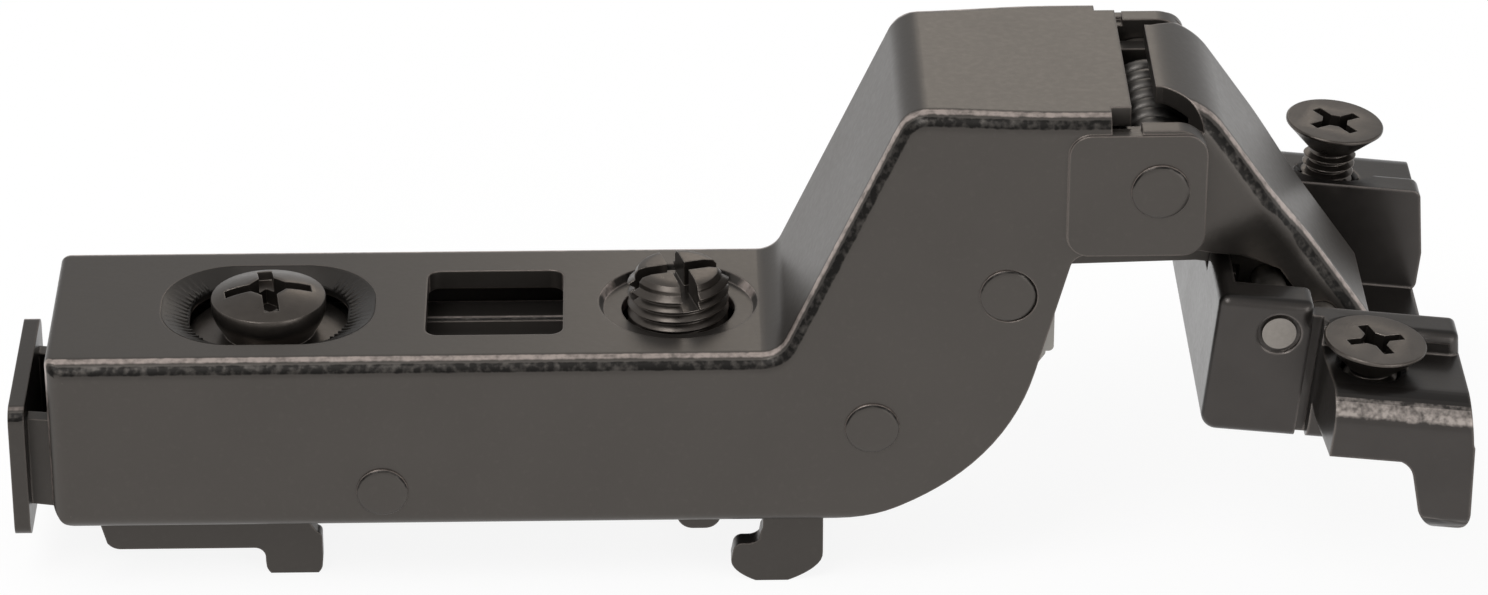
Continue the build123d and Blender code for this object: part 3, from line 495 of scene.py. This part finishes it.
def crossed(name, length, width, depth, place, turn):
    """A cross-shaped cutter of two blocks."""
    cross = block(name, (length, width, depth), place, turn)
    other = block(name, (width, length, depth), place, turn)
    combine(cross, other, "UNION")
    return cross


def copied(node):
    """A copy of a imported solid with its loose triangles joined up."""
    piece = NODES[node].copy()
    piece.data = NODES[node].data.copy()
    bpy.context.scene.collection.objects.link(piece)
    piece.parent = None
    piece.matrix_world = Matrix.Identity(4)
    for key in list(piece.keys()):
        del piece[key]
    only(piece)
    bpy.ops.object.mode_set(mode="EDIT")
    bpy.ops.mesh.select_all(action="SELECT")
    bpy.ops.mesh.remove_doubles(threshold=0.002 * MM)
    bpy.ops.mesh.dissolve_limited(angle_limit=radians(0.3))
    bpy.ops.object.mode_set(mode="OBJECT")
    return piece


def choose(piece, wanted):
    """Selects the vertices whose place passes the test."""
    only(piece)
    bpy.ops.object.mode_set(mode="EDIT")
    bpy.ops.mesh.select_mode(type="VERT")
    bpy.ops.mesh.select_all(action="DESELECT")
    bpy.ops.object.mode_set(mode="OBJECT")
    for vertex in piece.data.vertices:
        vertex.select = bool(wanted(vertex.co))
    bpy.ops.object.mode_set(mode="EDIT")


def rounded_tip(piece, wanted, start, down, across, depth, sharp=0.96):
    """Draws a tip in to a rounded end: it narrows across itself over its last stretch."""
    for share in (0.25, 0.5, 0.7, 0.85, 0.95):
        choose(piece, wanted)
        bpy.ops.mesh.bisect(plane_co=start + down * depth * share, plane_no=down)
        bpy.ops.object.mode_set(mode="OBJECT")
    for vertex in piece.data.vertices:
        if wanted(vertex.co):
            share = min(1.0, max(0.0, (vertex.co - start).dot(down) / depth))
            off = (vertex.co - start).dot(across)
            vertex.co -= across * off * (1 - (1 - sharp * share ** 2) ** 0.5)


def joined(pieces):
    """Makes one object of several."""
    only(pieces[0])
    for one in pieces[1:]:
        one.select_set(True)
    bpy.ops.object.join()
    return bpy.context.object


def hand_over(piece, name, body, material, nodes=(), angle=35):
    """Smooths a finished piece, paints it and puts it on its body."""
    settle(piece)
    piece.name = name
    piece.data.name = name
    bpy.ops.object.shade_smooth_by_angle(angle=radians(angle))
    flat = piece.modifiers.new("flat", "WEIGHTED_NORMAL")
    flat.keep_sharp = True
    flat.weight = 90
    bpy.ops.object.modifier_apply(modifier="flat")
    piece.data.materials.clear()
    piece.data.materials.append(material)
    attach(piece, body)
    if nodes:
        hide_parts(*nodes)


def middle(node):
    low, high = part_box(node)
    return (low + high) / 2


def joint_place(name):
    return Vector(next(j for j in frame["joints"] if j["name"] == name)["pos_m"])


# Steps

class HINGE_OT_side_screw(bpy.types.Operator):
    """Models the side screw: a threaded stud with crossed slots in its end"""

    bl_idname = "hinge.side_screw"
    bl_label = "Side screw"

    def execute(self, context):
        props = context.scene.hinge_screws
        low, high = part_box("side_screw")
        radius = (high.x - low.x) / 2
        top = high.z
        core = radius - THREAD_DEPTH * props.pitch
        foot_radius, neck_radius = radius - 0.8 * MM, radius - 2.0 * MM
        foot_top, neck_top = low.z + 1.0 * MM, low.z + 2.8 * MM
        stud = turned("side_screw_core", [
            (foot_radius, low.z), (foot_radius, foot_top), (neck_radius, foot_top),
            (neck_radius, neck_top), (core, neck_top + 0.5 * MM), (core, top - 0.5 * MM),
            (core - 0.25 * MM, top - 0.16 * MM), (core - 0.9 * MM, top)])
        turns = int((top - neck_top - 1.0 * MM) / props.pitch) - 1
        combine(stud, thread(core, props.pitch, turns, neck_top + 0.9 * MM, 40), "UNION")
        slots = crossed("slot", 3 * radius, props.slot, 3 * MM, (0, 0, top - 0.5 * MM), radians(15))
        combine(stud, slots, "DIFFERENCE")
        soften(stud, 0.06 * MM, 50)
        stud.location = (middle("side_screw").x, 0, 0)
        hand_over(stud, "side_screw_detail", "side_screw", finish("black_nickel_screw"), ["side_screw"])
        return {"FINISHED"}


class HINGE_OT_depth_screw(bpy.types.Operator):
    """Models the depth screw: a cam with a domed head and a cross recess"""

    bl_idname = "hinge.depth_screw"
    bl_label = "Depth screw"

    def execute(self, context):
        low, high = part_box("depth_screw")
        place = middle("depth_screw")
        cam = (high.x - low.x) / 2
        head = 0.717 * cam
        foot, neck = 0.5 * cam, 0.33 * cam
        foot_top, cam_low, cam_top = low.z + 1.05 * MM, low.z + 2.85 * MM, low.z + 3.6 * MM
        dome = 0.95 * MM
        top = high.z + 0.12 * MM
        rim_high = top - dome
        rings = [(foot, low.z), (foot, foot_top), (neck, foot_top), (neck, cam_low), (cam, cam_low),
                 (cam, cam_top), (0.8 * head, cam_top + 0.15 * MM), (0.94 * head, rim_high - 1.7 * MM),
                 (head, rim_high - 1.0 * MM), (head, rim_high - 0.12 * MM)]
        arcs = 7
        for step in range(arcs):
            reach = 0.985 * head * (1 - step / arcs)
            rings.append((reach, rim_high + dome * (1 - (reach / head) ** 2)))
        screw = turned("depth_screw_solid", rings, 72)
        turn = 8
        cross = crossed("cross", 1.5 * head, 0.26 * head, 2.6 * MM, (0, 0, top), radians(turn))
        combine(screw, cross, "DIFFERENCE")
        well = block("well", (0.62 * head, 0.62 * head, 5 * MM), (0, 0, top), radians(turn + 45))
        combine(screw, well, "DIFFERENCE")
        soften(screw, 0.07 * MM, 45)
        screw.location = (place.x, 0, 0)
        hand_over(screw, "depth_screw_detail", "depth_screw", finish("black_nickel_screw"), ["depth_screw"])
        return {"FINISHED"}


class HINGE_OT_frame_screws(bpy.types.Operator):
    """Models the two countersunk frame screws"""

    bl_idname = "hinge.frame_screws"
    bl_label = "Frame screws"

    def execute(self, context):
        pitch = context.scene.hinge_screws.frame_pitch
        head, shank, long = 3.75 * MM, 2.0 * MM, 6.8 * MM
        cone_low = shank - head
        core = shank - THREAD_DEPTH * pitch
        rings = [(core - 0.45 * MM, -long), (core, 0.5 * MM - long), (core, cone_low - 0.5 * MM),
                 (shank - 0.1 * MM, cone_low - 0.35 * MM), (head - 0.06 * MM, -0.32 * MM),
                 (head, -0.26 * MM), (head, -0.1 * MM), (head - 0.1 * MM, 0)]
        turns = int((long + cone_low - 0.7 * MM) / pitch) - 1
        for side, turn in (("near", 20), ("far", 35)):
            node = "frame_screw_" + side
            screw = turned(node + "_solid", rings, 64)
            combine(screw, thread(core, pitch, turns, 0.7 * MM - long, 36), "UNION")
            cross = crossed("cross", 4.4 * MM, 0.85 * MM, 3.0 * MM, (0, 0, 0), radians(turn))
            combine(screw, cross, "DIFFERENCE")
            well = block("well", (1.9 * MM, 1.9 * MM, 4.2 * MM), (0, 0, 0), radians(turn + 45))
            combine(screw, well, "DIFFERENCE")
            soften(screw, 0.05 * MM, 50)
            screw.rotation_euler = (0, BOSS_TILT, 0)
            screw.location = joint_place("screw_%s_turn" % side)
            hand_over(screw, node + "_detail", "screw_" + side, finish("black_nickel_screw"), [node])
        return {"FINISHED"}


class HINGE_OT_springs(bpy.types.Operator):
    """Winds the closing spring and the latch spring"""

    bl_idname = "hinge.springs"
    bl_label = "Springs"

    def execute(self, context):
        props = context.scene.hinge_screws
        for node, body, wire, turns, overlap in (
                ("closing_spring", "arm", props.wire, props.coils, 0.05 * MM),
                ("latch_spring", "root", 0.8 * MM, 6, 0.0)):
            low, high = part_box(node)
            place = (low + high) / 2
            radius = (high.z - low.z - wire) / 2 + overlap
            pitch = (high.y - low.y - wire) / turns
            coil = wound(node, wire / 2, 14, radius, pitch, turns, 0.0, 32)
            coil.rotation_euler = (pi / 2, 0, 0)
            coil.location = (place.x, high.y - wire / 2, place.z)
            hand_over(coil, node + "_wound", body, finish("oiled_spring"), [node], 60)
        return {"FINISHED"}


class HINGE_OT_rivets(bpy.types.Operator):
    """Turns the rivets with rounded heads"""

    bl_idname = "hinge.rivets"
    bl_label = "Rivets"

    def dome(self, head, high, rounding):
        """The outer rings of a rivet's head, from its side to its middle."""
        return [(head - 0.02 * MM, high - rounding), (head - rounding, high),
                (head - 0.5 * MM, high + 0.02 * MM)]

    def execute(self, context):
        rounding = context.scene.hinge_screws.round
        shank, proud = 1.5 * MM, 0.25 * MM
        for node in ("front_rivet", "lever_rivet", "ear_rivet"):
            low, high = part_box(node)
            half = (high.y - low.y) / 2
            head = (high.x - low.x) / 2
            top = self.dome(head, half, rounding)
            bottom = [(radius, -height) for radius, height in reversed(top)]
            stem = [(head, proud - half), (shank, proud - half), (shank, half - proud), (head, half - proud)]
            rivet = turned(node + "_solid", bottom + stem + top, 64)
            rivet.rotation_euler = (pi / 2, 0, 0)
            rivet.location = middle(node)
            hand_over(rivet, node + "_turned", "arm", finish("black_nickel_rivet"), [node], 60)
        for side, outward in (("near", -1), ("far", 1)):
            node = "rear_rivet_" + side
            low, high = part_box(node)
            long = high.y - low.y
            head = (high.x - low.x) / 2
            rivet = turned(node + "_solid", [(shank, 0), (shank, long - proud), (head, long - proud)]
                           + self.dome(head, long, rounding), 64)
            place = middle(node)
            rivet.rotation_euler = (-outward * pi / 2, 0, 0)
            rivet.location = (place.x, high.y if outward < 0 else low.y, place.z)
            hand_over(rivet, node + "_turned", "slide", finish("black_nickel_rivet"), [node], 60)
        return {"FINISHED"}


class HINGE_OT_dish(bpy.types.Operator):
    """Lays the sloped rim round the depth screw's slot, with fine ridges at both ends"""

    bl_idname = "hinge.dish"
    bl_label = "Depth screw dish"

    def oval(self, long, wide, corner, height):
        """A closed loop round the depth screw, with straight runs and round corners."""
        clear()
        points = 96
        bpy.ops.mesh.primitive_circle_add(vertices=points, radius=corner, location=(0, 0, height),
                                          rotation=(0, 0, pi / points))
        loop = bpy.context.object
        settle(loop)
        for axis, reach in ((0, long / 2 - corner), (1, wide / 2 - corner)):
            for side in (-1, 1):
                choose(loop, lambda co: co[axis] * side > 0)
                move = [0, 0, 0]
                move[axis] = side * reach
                bpy.ops.transform.translate(value=move)
                bpy.ops.object.mode_set(mode="OBJECT")
        loop.location = (middle("depth_screw").x, 0, 0)
        settle(loop)
        return loop

    def slope(self, floor):
        """The sloped ring between the arm's top and the floor of the dish."""
        slot = (11.86 * MM, 9.86 * MM, 4.0 * MM)
        rim = joined([self.oval(15.96 * MM, 12.56 * MM, 5.52 * MM, ARM_TOP - 0.005 * MM),
                      self.oval(14.4 * MM, 11.7 * MM, 5.3 * MM, ARM_TOP - 0.3 * MM),
                      self.oval(*slot, floor), self.oval(*slot, floor - 0.4 * MM)])
        bpy.ops.object.mode_set(mode="EDIT")
        bpy.ops.mesh.select_all(action="SELECT")
        bpy.ops.mesh.bridge_edge_loops()
        bpy.ops.mesh.select_all(action="SELECT")
        bpy.ops.mesh.normals_make_consistent(inside=False)
        bpy.ops.object.mode_set(mode="OBJECT")
        thick = rim.modifiers.new("thick", "SOLIDIFY")
        thick.thickness = 0.02 * MM
        bpy.ops.object.modifier_apply(modifier="thick")
        return rim

    def execute(self, context):
        floor = ARM_TOP - 0.88 * MM
        pieces = [self.slope(floor)]
        reach = 4.9 * MM
        tooth = block("tooth", (1.6 * MM, 0.11 * MM, 0.3 * MM), (reach, 0, floor + 0.05 * MM), 0)
        choose(tooth, lambda co: co.x > reach)
        bpy.ops.transform.translate(value=(0, 0, 0.5 * MM))
        bpy.ops.object.mode_set(mode="OBJECT")
        for end in (1, -1):
            for step in range(-8, 9):
                one = tooth.copy()
                one.data = tooth.data.copy()
                bpy.context.scene.collection.objects.link(one)
                one.rotation_euler = (0, 0, radians(step * 6 + (0 if end > 0 else 180)))
                one.location = (middle("depth_screw").x + end * 2.0 * MM, end * step * 0.1 * MM, 0)
                settle(one)
                pieces.append(one)
        only(tooth)
        bpy.ops.object.delete()
        hand_over(joined(pieces), "dish_rim", "arm", finish("black_nickel_dish"), (), 50)
        return {"FINISHED"}


class HINGE_OT_boss(bpy.types.Operator):
    """Finishes the boss: deeper wings and rounded fingers"""

    bl_idname = "hinge.boss"
    bl_label = "Boss"

    def execute(self, context):
        origin = joint_place("boss_near_pivot")
        along = Vector((cos(BOSS_TILT), 0, -sin(BOSS_TILT)))
        up = Vector((sin(BOSS_TILT), 0, cos(BOSS_TILT)))
        deeper = 1.3 * MM
        piece = copied("boss")

        def high(co):
            return (co - origin).dot(up)

        # The solid's wings slant off at the rear; most of that slant is taken out again
        for vertex in piece.data.vertices:
            out = (abs(vertex.co.y) - 14.8 * MM) / (6 * MM)
            reach = (vertex.co - origin).dot(along)
            if out > 0 and abs(reach - WING_START - 1.9 * MM * out) < 0.03 * MM:
                vertex.co -= along * 1.45 * MM * out
        choose(piece, lambda co: abs(co.y) > BOSS_WALL - 0.05 * MM and (
            abs(high(co) - WING_UNDERSIDE) < 0.1 * MM
            or (abs(co.y) > BOSS_WALL + 1.0 * MM and high(co) < WING_UNDERSIDE)))
        bpy.ops.transform.translate(value=-up * deeper)
        bpy.ops.object.mode_set(mode="OBJECT")
        rounded_tip(piece, lambda co: abs(co.y) > BOSS_WALL + 0.6 * MM and high(co) < -8.6 * MM,
                    origin + along * FINGER_MIDDLE - up * 8.8 * MM, -up, along, 2.5 * MM)
        hand_over(piece, "boss_cast", "boss", finish("black_nickel_zinc"), ["boss"], 25)
        return {"FINISHED"}


class HINGE_OT_hooks(bpy.types.Operator):
    """Finishes the bracket's front hooks and the release lever's teeth"""

    bl_idname = "hinge.hooks"
    bl_label = "Hooks and teeth"

    def shift(self, piece, wanted, move):
        choose(piece, wanted)
        bpy.ops.transform.translate(value=move)
        bpy.ops.object.mode_set(mode="OBJECT")

    def execute(self, context):
        bracket = copied("bracket")
        self.shift(bracket, lambda co: co.z < -10.6 * MM and co.x > HOOK_REACH, (0, 0, -0.5 * MM))
        rounded_tip(bracket, lambda co: co.x > HOOK_REACH and co.z < -12.5 * MM,
                    HOOK_TOE, Vector((0, 0, -1)), Vector((1, 0, 0)), 2.4 * MM, 0.85)
        lever = copied("release_lever")
        self.shift(lever, lambda co: co.z < -10.8 * MM, (-0.72 * MM, 0, -0.4 * MM))
        self.shift(lever, lambda co: co.z < -14 * MM, (0, 0, -0.2 * MM))
        dark = finish("black_nickel_bracket")
        hand_over(bracket, "bracket_folded", "root", dark, ["bracket"], 25)
        hand_over(lever, "release_lever_folded", "release", dark, ["release_lever"], 25)
        return {"FINISHED"}


class HINGE_OT_plating(bpy.types.Operator):
    """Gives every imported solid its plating"""

    bl_idname = "hinge.plating"
    bl_label = "Plating"

    def execute(self, context):
        props = context.scene.hinge_plating
        colour = tuple(props.arm_colour)
        arm = plated_sheet("black_nickel_sheet", colour, props)
        # Darker copy of the sheet, with less painted highlight, for the parts under and inside the arm:
        # painted shade
        shaded_sheet = plated_sheet("black_nickel_bracket", scaled(colour, 0.8), props, 0.25)
        rivets = plated_sheet("black_nickel_rivet", colour, props)
        # Darker copy of the sheet, with no painted highlight, for the dish's slope round the depth screw:
        # painted shade in the recess
        plated_sheet("black_nickel_dish", scaled(colour, 0.5), props, 0.0)
        zinc = cast_zinc("black_nickel_zinc", tuple(props.boss_colour))
        screws = polished_screw("black_nickel_screw", tuple(props.screw_colour), 0.3)
        steel = bare_steel("ground_steel", STEEL, 0.34)
        spring = bare_steel("oiled_spring", SPRING_STEEL, 0.3)
        nylon = moulded_nylon("grey_nylon", NYLON)
        finishes = {
            "arm": arm, "outer_lever": arm, "inner_lever": shaded_sheet, "bracket": shaded_sheet, "release_lever": shaded_sheet,
            "rear_rivet_near": rivets, "rear_rivet_far": rivets, "front_rivet": rivets, "lever_rivet": rivets,
            "ear_rivet": rivets, "ear_washer_near": steel, "ear_washer_far": steel, "latch_pin": steel,
            "latch_spring": spring, "closing_spring": spring, "spring_shoe": nylon, "boss": zinc,
            "boss_pin_inner": steel, "boss_pin_outer": steel, "depth_screw": screws, "side_screw": screws,
            "frame_screw_near": screws, "frame_screw_far": screws,
        }
        for node, material in finishes.items():
            paint(node, material)
        return {"FINISHED"}


class HINGE_OT_stage(bpy.types.Operator):
    """Adds the floor, the lamps, the world and the camera"""

    bl_idname = "hinge.stage"
    bl_label = "Stage"

    def execute(self, context):
        props = context.scene.hinge_stage
        low = CAD_BOX[0].z - props.floor_drop
        clear()
        bpy.ops.mesh.primitive_plane_add(size=3, location=(0, 0, low))
        floor = context.object
        floor.name = "floor"
        tree = Tree("pale_floor")
        tree.set(Base_Color=(0.9, 0.9, 0.9, 1), Roughness=0.9)
        path = tree.node("ShaderNodeLightPath")
        white = tree.node("ShaderNodeEmission", Color=(1, 1, 1, 1), Strength=1.03)
        # White to the camera and in reflections, with a little of the shaded floor left for its shadow
        seen = Sock(tree, path.outputs["Is Camera Ray"]) + Sock(tree, path.outputs["Is Glossy Ray"])
        mixer = tree.node("ShaderNodeMixShader")
        tree.plug(mixer.inputs[0], seen * 0.86)
        tree.links.new(tree.shader.outputs[0], mixer.inputs[1])
        tree.links.new(white.outputs[0], mixer.inputs[2])
        tree.links.new(mixer.outputs[0], tree.nodes["Material Output"].inputs["Surface"])
        floor.data.materials.append(tree.material)

        world = bpy.data.worlds.new("studio")
        context.scene.world = world
        world.use_nodes = True
        world.node_tree.nodes["Background"].inputs["Color"].default_value = (1, 1, 1, 1)
        world.node_tree.nodes["Background"].inputs["Strength"].default_value = 0.6

        plain, warm = (1.0, 1.0, 1.0), (1.0, 0.9, 0.78)
        for name, place, size, share, tint in (
                ("key", (-0.25, -0.35, 0.6), 0.35, 1.0, plain),
                ("rim", (0.075, 0.5, 0.27), 0.14, 0.06, warm),
                ("fill", (0.5, -0.5, 0.2), 0.4, 0.5, plain)):
            lamp = bpy.data.lights.new(name, "AREA")
            lamp.size = size
            lamp.energy = props.lamp_power * share
            lamp.color = tint
            one = bpy.data.objects.new(name, lamp)
            context.scene.collection.objects.link(one)
            one.location = place
            one.rotation_euler = (Vector((0.02, 0, 0.0)) - Vector(place)).to_track_quat("-Z", "Y").to_euler()

        camera = bpy.data.cameras.new("camera")
        camera.lens = props.lens
        camera.sensor_width = 36
        camera.clip_start = 0.01
        camera.clip_end = 10
        one = bpy.data.objects.new("camera", camera)
        context.scene.collection.objects.link(one)
        one.location = props.camera_place
        aim = Vector(props.aim) - Vector(props.camera_place)
        one.rotation_euler = aim.to_track_quat("-Z", "Y").to_euler()
        context.scene.camera = one
        context.scene.view_settings.view_transform = "Standard"
        return {"FINISHED"}


class HINGE_PT_panel(bpy.types.Panel):
    """Steps that dress the hinge"""

    bl_label = "Clip-on hinge"
    bl_space_type = "VIEW_3D"
    bl_region_type = "UI"
    bl_category = "Hinge"

    def draw(self, context):
        for props in (context.scene.hinge_plating, context.scene.hinge_screws, context.scene.hinge_stage):
            for name in props.__annotations__:
                self.layout.prop(props, name)
        for one in STEPS:
            self.layout.operator(one.bl_idname)


STEPS = (HINGE_OT_plating, HINGE_OT_side_screw, HINGE_OT_depth_screw, HINGE_OT_frame_screws, HINGE_OT_springs,
         HINGE_OT_rivets, HINGE_OT_dish, HINGE_OT_boss, HINGE_OT_hooks, HINGE_OT_stage)
CLASSES = (PlatingProps, ScrewProps, StageProps) + STEPS + (HINGE_PT_panel,)


def register():
    for one in CLASSES:
        bpy.utils.register_class(one)
    bpy.types.Scene.hinge_plating = bpy.props.PointerProperty(type=PlatingProps)
    bpy.types.Scene.hinge_screws = bpy.props.PointerProperty(type=ScrewProps)
    bpy.types.Scene.hinge_stage = bpy.props.PointerProperty(type=StageProps)


def unregister():
    del bpy.types.Scene.hinge_plating
    del bpy.types.Scene.hinge_screws
    del bpy.types.Scene.hinge_stage
    for one in reversed(CLASSES):
        bpy.utils.unregister_class(one)


def main():
    register()
    bpy.ops.hinge.plating()
    bpy.ops.hinge.side_screw()
    bpy.ops.hinge.depth_screw()
    bpy.ops.hinge.frame_screws()
    bpy.ops.hinge.springs()
    bpy.ops.hinge.rivets()
    bpy.ops.hinge.dish()
    bpy.ops.hinge.boss()
    bpy.ops.hinge.hooks()
    bpy.ops.hinge.stage()


if __name__ == "__main__":
    main()
